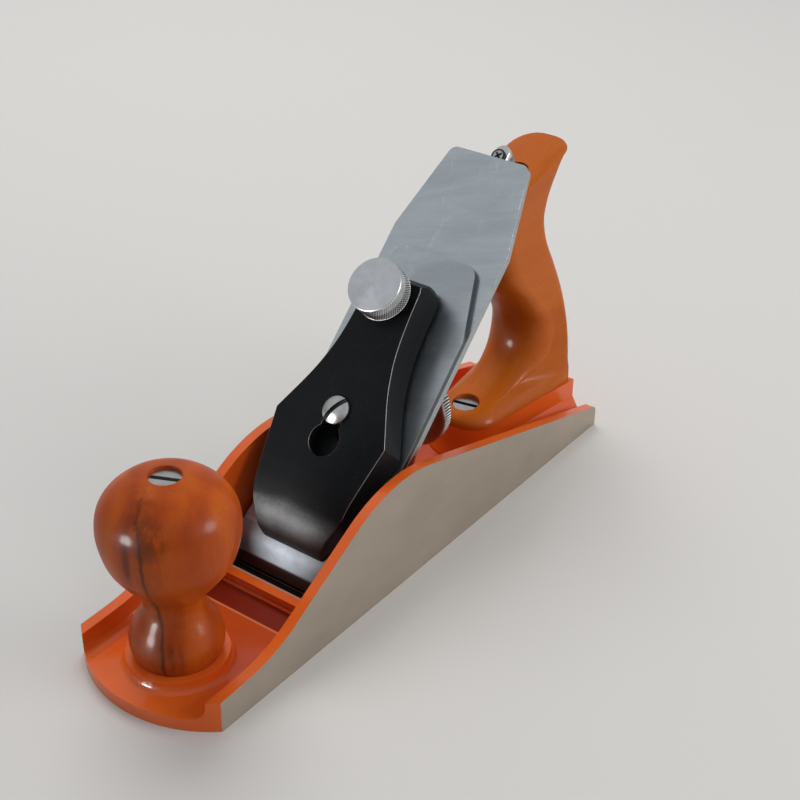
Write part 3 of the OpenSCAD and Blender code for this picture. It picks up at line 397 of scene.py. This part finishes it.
def wood(name, turned):
    """Lacquered orange-brown wood: growth rings cut at a slant, pores, and dark mineral streaks."""
    f = Finish(name)
    x, y, z = f.millimetres()
    if turned:
        along = f.at(1.0, 1.0, 0.12)
        across = x * 0.85 + (y - KNOB_Y) * 0.5
    else:
        along = f.at(1.0, 0.10, 0.9)
        across = z * 0.8 + x * 0.5 - y * 0.12
    sway = f.noise(along, 0.05, 2.0, 0.5) * 14
    ring = f.node("ShaderNodeMath", {"operation": "SINE"}, (across + sway) * 0.55) * 0.5 + 0.5
    pore = f.noise(along, 1.8, 3.0, 0.65)
    cloud = f.noise(along, 0.06, 3.0, 0.6, 0.8)
    fleck = f.noise(along, 0.8, 2.0, 0.6).step(0.58, 0.72)
    if turned:
        colour = f.ramp(ring * 0.16 + pore * 0.24 + cloud * 0.6, *KNOB_BROWNS)
        # Dark streaks run down the side between the toe and the right-hand cheek: u is measured
        # across it in mm, and each streak's middle is a run of u over the knob's height
        u = x * 0.81 + (y - KNOB_Y) * 0.586
        facing = ((y - KNOB_Y) * 0.81 - x * 0.586).fall(-5.0, 2.0)
        drift = (f.noise(f.at(0.02, 0.02, 1.0), 0.16, 2.0, 0.5) - 0.5) * 2.2
        rise = (z - 9.0) / 70.0
        main = f.ramp(rise, *((at, grey((v + 12) / 20)) for at, v in STREAK)) * 20.0 - 12.0
        off = abs(u + drift - main)
        soft = f.noise(along, 0.12, 3.0, 0.6)
        crack = off.fall(0.05, 1.0) * soft.step(0.32, 0.50) * (1.0 - z.step(71.0, 77.0) * 0.7)
        halo = off.fall(0.5, 5.5) * soft.step(0.36, 0.62)
        second = abs(u + drift * 0.6 + 10.0).fall(0.3, 1.9) * z.band(52, 56, 66, 71)
        blot = sum(((((u - a) / w) ** 2.0 + ((z - b) / h) ** 2.0).fall(0.0, 1.0) for a, b, w, h in BLOTS),
                   start=0.0)
        blot = blot * f.noise(along, 0.35, 3.0, 0.6).step(0.34, 0.60)
        for mark, share, brown in ((halo, 0.5, HALO_BROWN), (blot, 0.55, STREAK_BROWN),
                                   (second, 0.6, STREAK_BROWN), (crack, 0.70, STREAK_BROWN)):
            colour = f.mix((mark * share * facing).clip(), colour, brown)
    else:
        colour = f.ramp(ring * 0.05 + pore * 0.40 + cloud * 0.55, *HANDLE_BROWNS)
        # The hollow, where the hand closes, is painted darker on its side that faces the toe: painted shade
        hollow = (-f.normal()[1]).step(0.30, 0.85) * z.step(36, 56)
        colour = f.mix(hollow * 0.5, colour, HOLLOW_SHADE_BROWN)
    colour = f.mix(fleck * 0.2, colour, FLECK_BROWN)
    return f.set(Base_Color=colour, Roughness=0.38 + pore * 0.14, Coat_Weight=0.18, Coat_Roughness=0.17,
                 Specular_IOR_Level=0.08, bump=pore, depth=0.00003)


BODY_FINISH = enamel("enamel_and_ground_iron", ground=True)
FROG_FINISH = enamel("enamel", ground=False)
# On the blade, tip paints the lower end dark brown: painted shade and a painted reflection of the dark mouth
STEEL = ground_steel("satin_steel", low=(0.48, 0.525, 0.555), high=(0.64, 0.685, 0.71), rough=0.20,
                     tip=(0.045, 0.020, 0.016), tip_to=8.9, tip_rough=0.2, side=0.25)
BREAKER_STEEL = ground_steel("breaker_steel", low=(0.44, 0.48, 0.505), high=(0.60, 0.645, 0.67),
                             rough=0.28, tip=(0.30, 0.325, 0.35), tip_to=20, tip_rough=0.3, side=0.85)
PLAIN = plain_steel("plain_steel")
BRIGHT = bright_steel("bright_steel")
SPUN = spun_aluminium("spun_aluminium")
WHEEL_STEEL = wheel_steel("wheel_steel")
TAB_SCREW = tab_screw_steel("tab_screw_steel")
CAP_SCREW = slotted_steel("cap_screw_steel", 62, 0.95, lambda f: (f.x * 1000, f.bed()[0] - CAP_SCREW_AT))
KNOB_NUT = slotted_steel("knob_nut_steel", 25, 0.75, lambda f: (f.x * 1000, f.y * 1000 - KNOB_Y))
TOE_SCREW = slotted_steel("toe_screw_steel", 12, 1.1, lambda f: (f.x * 1000, f.y * 1000 - TOE_SCREW_Y))
CAP_BLACK = cap_black("cap_black")
KNOB_WOOD = wood("knob_wood", turned=True)
HANDLE_WOOD = wood("handle_wood", turned=False)


# Meshes

def piece(name, mesh, node, material, sharp=35.0):
    """Puts a mesh in the scene as the piece that stands for a CAD node; edges over sharp degrees stay."""
    made = bpy.data.objects.new(name, mesh)
    bpy.context.scene.collection.objects.link(made)
    mesh.materials.clear()
    mesh.materials.append(material)
    mesh.shade_smooth()
    mesh.set_sharp_from_angle(angle=math.radians(sharp))
    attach(made, BODY_OF[node])
    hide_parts(node)
    return made


def merged_copy(node):
    """A copy of a CAD node's mesh with its loose triangles joined and flat faces made whole."""
    mesh = frame["nodes"][node].data.copy()
    work = bmesh.new()
    work.from_mesh(mesh)
    bmesh.ops.remove_doubles(work, verts=work.verts, dist=2e-6)
    bmesh.ops.dissolve_limit(work, angle_limit=math.radians(0.3), verts=work.verts, edges=work.edges)
    work.to_mesh(mesh)
    work.free()
    return mesh


def dressed(node, material, round_edge, segments=2):
    """The CAD shape in its own finish, with its edges rounded by round_edge mm."""
    made = piece(node + "_dressed", merged_copy(node), node, material)
    edge = made.modifiers.new("rounded_edges", "BEVEL")
    edge.width, edge.segments = round_edge * MM, segments
    edge.limit_method, edge.angle_limit = "ANGLE", math.radians(32)
    edge.use_clamp_overlap = True
    edge.harden_normals = True
    return made


def grid_mesh(name, points, closed=True):
    """A mesh from an array of points [rows, columns, 3] that goes round along the columns: quads between
    neighbours, and where closed a fan from the mean of the first and of the last row."""
    rows, cols = points.shape[:2]
    index = np.arange(rows * cols).reshape(rows, cols)
    there = np.roll(index, -1, axis=1)
    quads = np.stack([index[:-1], there[:-1], there[1:], index[1:]], axis=-1).reshape(-1, 4)
    verts = points.reshape(-1, 3)
    faces = [tuple(q) for q in quads.tolist()]
    for row, flip in ((0, True), (rows - 1, False)) if closed else ():
        middle = np.full(cols, len(verts))
        verts = np.vstack([verts, points[row].mean(axis=0)])
        a, b = index[row], there[row]
        fan = np.stack([b, a, middle] if flip else [a, b, middle], 1)
        faces += [tuple(q) for q in fan.tolist()]
    mesh = bpy.data.meshes.new(name)
    mesh.from_pydata((verts * MM).tolist(), [], faces)
    work = bmesh.new()
    work.from_mesh(mesh)
    bmesh.ops.remove_doubles(work, verts=work.verts, dist=1e-7)
    bmesh.ops.recalc_face_normals(work, faces=work.faces)
    work.to_mesh(mesh)
    work.free()
    mesh.update()
    return mesh


def smooth_rows(rows, steps):
    """A smooth run through the rows of a table (Catmull-Rom), with steps between each two."""
    p = np.array(rows, float)
    p = np.vstack([p[:1], p, p[-1:]])
    t = np.linspace(0, 1, steps, endpoint=False)[:, None]
    out = [(2 * b + (c - a) * t + (2 * a - 5 * b + 4 * c - d) * t ** 2 + (3 * b - a - 3 * c + d) * t ** 3) / 2
           for a, b, c, d in zip(p, p[1:], p[2:], p[3:])]
    return np.vstack(out + [p[-1:]])


def turned_points(profile, cols, ripple=None):
    """A profile [[radius, height], ...] turned about z: point = (r cos a, r sin a, h); ripple(a, h) is
    added to the radius."""
    a = np.linspace(0, 2 * math.pi, cols, endpoint=False)
    prof = np.array(profile, float)
    r = np.repeat(prof[:, :1], cols, 1)
    h = np.repeat(prof[:, 1:2], cols, 1)
    if ripple is not None:
        r = r + ripple(a[None, :], h)
    return np.stack([r * np.cos(a), r * np.sin(a), h], axis=-1)


def placed(points, origin, axis):
    """Points turned so that their z lies along axis, with their origin at origin."""
    z = np.array(axis, float)
    z /= np.linalg.norm(z)
    x = np.array([1.0, 0, 0])
    y = np.cross(z, x)
    return points[..., :1] * x + points[..., 1:2] * y + points[..., 2:] * z + np.array(origin)


# Knob

def knob_points():
    """The knob's profile: foot, neck, ball, and the sunk bore for its nut, turned about its axis."""
    outer = smooth_rows([[14.3, 0], [15.6, 3.4], [15.9, 7.5], [14.2, 12.5], [11, 18.2], [10.3, 22],
                         [11.6, 26.3], [15.6, 31.2], [20.4, 38.2], [22.6, 45], [23.3, 51.2], [22.2, 57.6],
                         [18.7, 62.9], [12.78, 67.3], [5.9, KNOB_H]], 8)
    bore = [[5.5, KNOB_H - 0.1], [5.37, KNOB_H - 0.5], [5.37, KNOB_H - 12]]
    profile = np.vstack([[[13.6, 0]], outer, bore])
    return placed(turned_points(profile, 128), (0, KNOB_Y, KNOB_BASE), (0, 0, 1))


piece("knob_turned", grid_mesh("knob_turned", knob_points()), "knob", KNOB_WOOD, 50)

# Handle

# Height, front and back (from the heel), half-widths at front and back, depth of the round front and
# radius of the back corners
HANDLE_ROWS = [
    [0, -63.5, -0.2, 13.3, 18.6, 13, 3], [2, -63.5, -0.2, 12.5, 18.6, 13, 3],
    [4, -62.3, -0.2, 10.8, 18.5, 13, 3], [5.5, -59.2, -0.2, 9, 18.4, 13, 3],
    [6.5, -53, -0.2, 7.6, 18.3, 13, 3], [8, -42, -0.2, 7.6, 18.2, 13, 3.5],
    [11, -33, -0.2, 8.6, 18, 13, 4], [16, -26, -0.2, 10, 17.6, 13, 4],
    [24, -22.5, -0.2, 11.5, 16.8, 12, 4.5], [33, -23.5, -0.8, 12, 15.6, 11.5, 5],
    [44, -31, -3.5, 12, 14.2, 10.5, 5], [57, -42.5, -9, 11.4, 13, 10, 5],
    [68, -47.5, -14.2, 11, 12, 10, 5], [78, -48.5, -16.4, 10.9, 11.4, 9, 5],
    [86, -46, -14.6, 11.1, 11.4, 8, 5.5], [92, -43.2, -11, 11.4, 11.7, 8, 7],
    [97, -40.6, -6.6, 11.8, 12, 8, 9], [100.2, -40.6, -3, 12, 12.1, 8, 10.8],
    [102.4, -40.6, -0.8, 11.9, 11.9, 8, 10.7], [103.5, -40.6, -0.1, 10.9, 10.9, 8, 9.8],
    [104.3, -40.6, -0.05, 9, 9, 8, 8], [104.9, -40.6, -0.05, 6.3, 6.3, 8, 5.6],
    [105.25, -40.6, -0.05, 3.2, 3.2, 8, 2.8]]
# The horn's slanting top starts at this place and height, and climbs by this much for each mm back
HORN_FRONT, HORN_LOW, HORN_RISE = -41, 94.6, 0.262


def handle_points(arc=26, side=8, corner=10, steps=8):
    """Level sections from foot to horn, each half running from the front's middle to the back's. The
    front is a quarter oval: x = w sin(a) ^ 0.9, y = front + depth (1 - cos a). Then comes a straight
    side that widens evenly, and a round corner. The horn's slanting top, y = its front + (h - low) /
    rise, cuts the round off at the angle called start."""
    rows = smooth_rows(HANDLE_ROWS, steps)
    h, f, b, w_front, w_back, depth, r = (rows[:, i:i + 1] for i in range(7))
    front = np.maximum(f, np.minimum(HORN_FRONT + (h - HORN_LOW) / HORN_RISE, -0.5))
    depth = np.minimum(depth, (b - f) * 0.55)
    k = (w_back - w_front) / (b - f)
    start = np.arccos(np.maximum(1 - (front - f) / depth, 0.1))
    n = np.arange(arc)[None, :] / (arc - 1)
    a = np.maximum((n * (arc - 1) + 1) / arc * math.pi / 2, start + (math.pi / 2 - start) * n)
    x1 = (w_front + k * depth) * np.sin(a) ** 0.9
    y1 = np.maximum(f + depth * (1 - np.cos(a)), front + np.minimum(0.3, (b - front) * 0.3) * n)
    r = np.minimum(r, w_back * 0.9)
    ry = np.minimum(r, np.maximum(b - front - 0.8, (b - front) * 0.5))
    c = np.linspace(0, math.pi / 2, corner + 1)[None, 1:]
    x3 = w_back - r * (1 - np.cos(c))
    y3 = b - ry + ry * np.sin(c)
    s = np.linspace(0, 1, side + 1)[None, 1:-1]
    x2 = x1[:, -1:] * (1 - s) + x3[:, :1] * s
    y2 = y1[:, -1:] * (1 - s) + y3[:, :1] * s
    zero = 0 * h
    x = np.hstack([zero, x1, x2, x3, zero, -x3[:, ::-1], -x2[:, ::-1], -x1[:, ::-1]])
    y = np.hstack([front, y1, y2, y3, b, y3[:, ::-1], y2[:, ::-1], y1[:, ::-1]])
    return np.stack([x, HEEL_Y + y, HANDLE_BASE + h + 0 * x], axis=-1)


def bored(made, cutters):
    """Cuts round bores into a piece: each cutter is (origin, axis, radius, length)."""
    for i, (origin, axis, radius, length) in enumerate(cutters):
        tool = bpy.data.objects.new("cutter", grid_mesh("cutter", placed(
            turned_points([[radius, 0], [radius, length]], 64), origin, axis)))
        bpy.context.scene.collection.objects.link(tool)
        cut = made.modifiers.new("bore%d" % i, "BOOLEAN")
        cut.operation, cut.solver, cut.object = "DIFFERENCE", "EXACT", tool
        bpy.context.view_layer.update()
        result = bpy.data.meshes.new_from_object(made.evaluated_get(bpy.context.evaluated_depsgraph_get()))
        made.modifiers.clear()
        made.data = result
        bpy.data.objects.remove(tool, do_unlink=True)
    made.data.shade_smooth()
    made.data.set_sharp_from_angle(angle=math.radians(40))


handle = piece("handle_shaped", grid_mesh("handle_shaped", handle_points()), "handle", HANDLE_WOOD, 40)
# The rod through the handle leans towards the toe; its nut sits in a bore 82 mm up it
LEAN = math.radians(7.1)
ROD_AXIS = (0, -math.sin(LEAN), math.cos(LEAN))
NUT_FOOT = np.array([0, HEEL_Y - 13.5, HANDLE_BASE]) + 82.0 * np.array(ROD_AXIS)
NUT_BORE, TOE_BORE = 5.37, 5.6
bored(handle, [((0, TOE_SCREW_Y, HANDLE_BASE + 2.6), (0, 0, 1), TOE_BORE, 30),
               (tuple(NUT_FOOT), ROD_AXIS, NUT_BORE, 40)])

# Depth wheel and the knob of the lever cap

def straight_knurl(teeth, deep, low, high):
    """Ridges along the axis on the rim between two heights: r falls by deep in each groove."""
    def ripple(a, h):
        inside = (h > low) & (h < high)
        return -deep * (0.5 - 0.5 * np.cos(a * teeth)) * inside
    return ripple


def diamond_knurl(teeth, pitch, deep, low, high):
    """Two crossing sets of helical grooves: r falls by deep where either passes."""
    def ripple(a, h):
        inside = (h > low) & (h < high)
        left = np.abs(np.sin(a * teeth / 2 + math.pi * h / pitch))
        right = np.abs(np.sin(a * teeth / 2 - math.pi * h / pitch))
        return -deep * (1 - np.minimum(left, right)) * inside
    return ripple


def wheel_points():
    """The depth wheel's hub, groove and knurled rim, turned about the stud."""
    low, high = WHEEL_RIM
    profile = [[3.55, 20.0], [9, 20.0], [9, 22.0], [6.5, 22.0], [6.5, 27.2], [9, 27.2], [9, low],
               [16.2, low], [16.8, low + 0.5], [17, low + 0.8], [17, low + 0.9], [17, 33.2],
               [17, high - 0.9], [17, high - 0.8], [16.8, high - 0.5], [16.2, high],
               [9, high], [8, 37], [3.55, 37], [3.55, 20.0]]
    points = turned_points(profile, 88 * 8, straight_knurl(88, 0.42, 31.35, 35.15))
    return placed(points[:, ::-1], (0, 0, WHEEL_Z), (0, 1, 0))


piece("depth_wheel_knurled", grid_mesh("depth_wheel_knurled", wheel_points(), closed=False), "depth_wheel",
      WHEEL_STEEL, 40)


def cap_knob_points():
    """Stud, collar, diamond-knurled edge and a shallow cone whose turning marks are real rings."""
    face = CAP_KNOB_LOW
    low = face + CAP_KNOB_COLLAR
    top = low + CAP_KNOB_THICK
    rings = np.arange(9.8, 0.3, -0.06)
    cone = np.stack([rings, top + 1.1 * (1 - rings / 9.8) + 0.010 * np.cos(rings * 2 * math.pi / 0.3)], 1)
    edge = np.linspace(low + 0.9, top - 0.8, 40)
    profile = np.vstack([[[3, 2.55], [3, face], [4.5, face], [4.5, low], [9.6, low], [10.2, low + 0.4],
                          [CAP_KNOB_R, low + 0.8]],
                         np.stack([np.full_like(edge, CAP_KNOB_R), edge], 1),
                         [[CAP_KNOB_R, top - 0.7], [10.3, top - 0.2], [10.05, top]], cone])
    return placed(turned_points(profile, 432, diamond_knurl(72, 1.9, 0.32, low + 0.85, top - 0.75)),
                  (0.0, BED_Y + CAP_KNOB_AT * ROOT_HALF, CAP_KNOB_AT * ROOT_HALF), (0, -ROOT_HALF, ROOT_HALF))


piece("cap_knob_knurled", grid_mesh("cap_knob_knurled", cap_knob_points()), "lever_cap_knob", SPUN, 40)

# Finger tab

def finger_tab_points(half=3.3, thick=3.0):
    """A bar with one round end, lying on the lever: its outline is |x| <= half up to high along the bed,
    then a half circle of radius half. Rows further up are drawn in towards its middle, which rounds
    the top edge."""
    low, high = TAB_AT
    a = np.linspace(0, math.pi, 72)
    x = np.concatenate([[-half, half], half * np.cos(a)[1:-1]])
    l = np.concatenate([[low, low], high + half * np.sin(a)[1:-1]])
    x, l = np.insert(x, 2, half), np.insert(l, 2, high)
    x, l = np.append(x, -half), np.append(l, high)
    rows = []
    for draw, o in ((0, 0), (0, thick - 0.8), (0.1, thick - 0.4), (0.3, thick - 0.1), (0.7, thick)):
        k = (half - draw) / half
        rows.append(np.stack([x * k, (l - 178) * (1 - draw / 9) + 178, np.full_like(x, TAB_BASE + o)], 1))
    p = np.array(rows)
    return np.stack([p[..., 0], BED_Y + (p[..., 1] - p[..., 2]) * ROOT_HALF,
                     (p[..., 1] + p[..., 2]) * ROOT_HALF], axis=-1)


piece("finger_tab_shaped", grid_mesh("finger_tab_shaped", finger_tab_points()), "finger_tab", BRIGHT, 40)

# Cast, ground and stamped pieces keep the CAD shape, with their edges rounded

dressed("body", BODY_FINISH, 0.7, 3)
dressed("frog", FROG_FINISH, 0.5)
dressed("yoke", FROG_FINISH, 0.3)
dressed("lever_cap", CAP_BLACK, 0.7, 3)
dressed("blade", STEEL, 0.18)
dressed("chip_breaker", BREAKER_STEEL, 0.25)
for small in ("frog_screws", "frog_washers", "frog_adjust_screw", "frog_fork", "frog_fork_screw",
              "breaker_screw", "depth_stud", "yoke_pin", "lateral_lever", "lateral_pivot", "roller_rivet",
              "knob_rod", "handle_rod"):
    dressed(small, PLAIN, 0.2)
for small in ("lateral_roller", "handle_nut"):
    dressed(small, BRIGHT, 0.25)
dressed("finger_tab_screw", TAB_SCREW, 0.2)
dressed("lever_cap_screw", CAP_SCREW, 0.25)
dressed("knob_nut", KNOB_NUT, 0.25)
dressed("handle_toe_screw", TOE_SCREW, 0.25)


# Floor, light and camera

def floor():
    """A level sheet of 6 m by 6 m under the sole, with painted shade where only the plane's mouth shows it.
    """
    mesh = bpy.data.meshes.new("floor")
    mesh.from_pydata([(-3, -3, 0), (3, -3, 0), (3, 3, 0), (-3, 3, 0)], [], [(0, 1, 2, 3)])
    made = bpy.data.objects.new("floor", mesh)
    bpy.context.scene.collection.objects.link(made)
    f = Finish("floor")
    shade = abs(f.x).fall(0.026, 0.029) * f.y.band(-0.053, -0.051, -0.039, -0.037)
    mesh.materials.append(f.set(Base_Color=f.mix(shade, FLOOR_PALE, STAGE_SHADE), Roughness=0.7))


floor()


def lamp(name, place, aim, size, power, tint, mirrored=True, lights=True):
    """A soft round lamp; mirrored: gloss shows it; lights: it lights matt surfaces as well."""
    data = bpy.data.lights.new(name, "AREA")
    data.shape, data.size, data.size_y, data.energy, data.color = "ELLIPSE", size[0], size[1], power, tint
    made = bpy.data.objects.new(name, data)
    bpy.context.scene.collection.objects.link(made)
    made.location = place
    made.rotation_euler = (Vector(aim) - Vector(place)).to_track_quat("-Z", "Y").to_euler()
    made.visible_glossy, made.visible_diffuse = mirrored, lights


COOL, WARM, NEAR_WHITE = (0.97, 0.98, 1.0), (1.0, 0.98, 0.95), (1.0, 0.99, 0.97)
RIGHT = (1.05, 0.40, 0.5)
MIDDLE = (0, 0, 0.05)
lamp("overhead", (-0.62, 0.45, 1.25), (0, 0, 0), (1.0, 1.0), 10, NEAR_WHITE, mirrored=False)
lamp("left_window", (-0.5, -1.4, 0.19), (0, -0.1, 0.06), (0.46, 0.52), 26, COOL, lights=False)
lamp("right_window", RIGHT, MIDDLE, (0.9, 0.9), 5, WARM, mirrored=False)
lamp("right_gleam", RIGHT, MIDDLE, (0.42, 0.42), 8, WARM, lights=False)


def studio_sky():
    """A pale dome, dimmer low down on the toe's side: strength = 0.08 + 0.48 step(z + 0.6 y), with
    the step from -0.35 to 0.45."""
    world = bpy.data.worlds.new("studio")
    bpy.context.scene.world = world
    world.use_nodes = True
    tree = world.node_tree
    place = tree.nodes.new("ShaderNodeTexCoord")
    slope = tree.nodes.new("ShaderNodeVectorMath")
    slope.operation = "DOT_PRODUCT"
    slope.inputs[1].default_value = (0.0, 0.6, 1.0)
    blend = tree.nodes.new("ShaderNodeMapRange")
    blend.interpolation_type = "SMOOTHSTEP"
    blend.inputs["From Min"].default_value, blend.inputs["From Max"].default_value = -0.35, 0.45
    blend.inputs["To Min"].default_value, blend.inputs["To Max"].default_value = 0.08, 0.56
    sky = tree.nodes["Background"]
    sky.inputs["Color"].default_value = (0.94, 0.96, 1.0, 1)
    tree.links.new(place.outputs["Generated"], slope.inputs[0])
    tree.links.new(slope.outputs["Value"], blend.inputs["Value"])
    tree.links.new(blend.outputs[0], sky.inputs["Strength"])


studio_sky()


def camera(azimuth, elevation, roll, place, lens):
    """Looks along -back, where back = (sin az cos el, -cos az cos el, sin el), rolled about it."""
    az, el, ro = (math.radians(v) for v in (azimuth, elevation, roll))
    back = Vector((math.sin(az) * math.cos(el), -math.cos(az) * math.cos(el), math.sin(el)))
    right = (-back).cross(Vector((0, 0, 1))).normalized()
    up = right.cross(-back)
    r = math.cos(ro) * right + math.sin(ro) * up
    u = -math.sin(ro) * right + math.cos(ro) * up
    data = bpy.data.cameras.new("camera")
    data.lens, data.sensor_width, data.clip_start, data.clip_end = lens, SENSOR, 0.01, 20
    made = bpy.data.objects.new("camera", data)
    bpy.context.scene.collection.objects.link(made)
    turn = Matrix((r, u, back)).transposed().to_4x4()
    made.matrix_world = Matrix.Translation(place) @ turn
    bpy.context.scene.camera = made


SENSOR = 36.0
# A focal length of 1491 pixels in a frame 800 pixels wide
camera(azimuth=35.89, elevation=31.10, roll=1.12, place=(0.28282, -0.36544, 0.33802),
       lens=1491 / 800 * SENSOR)
bpy.context.scene.view_settings.view_transform = "Standard"
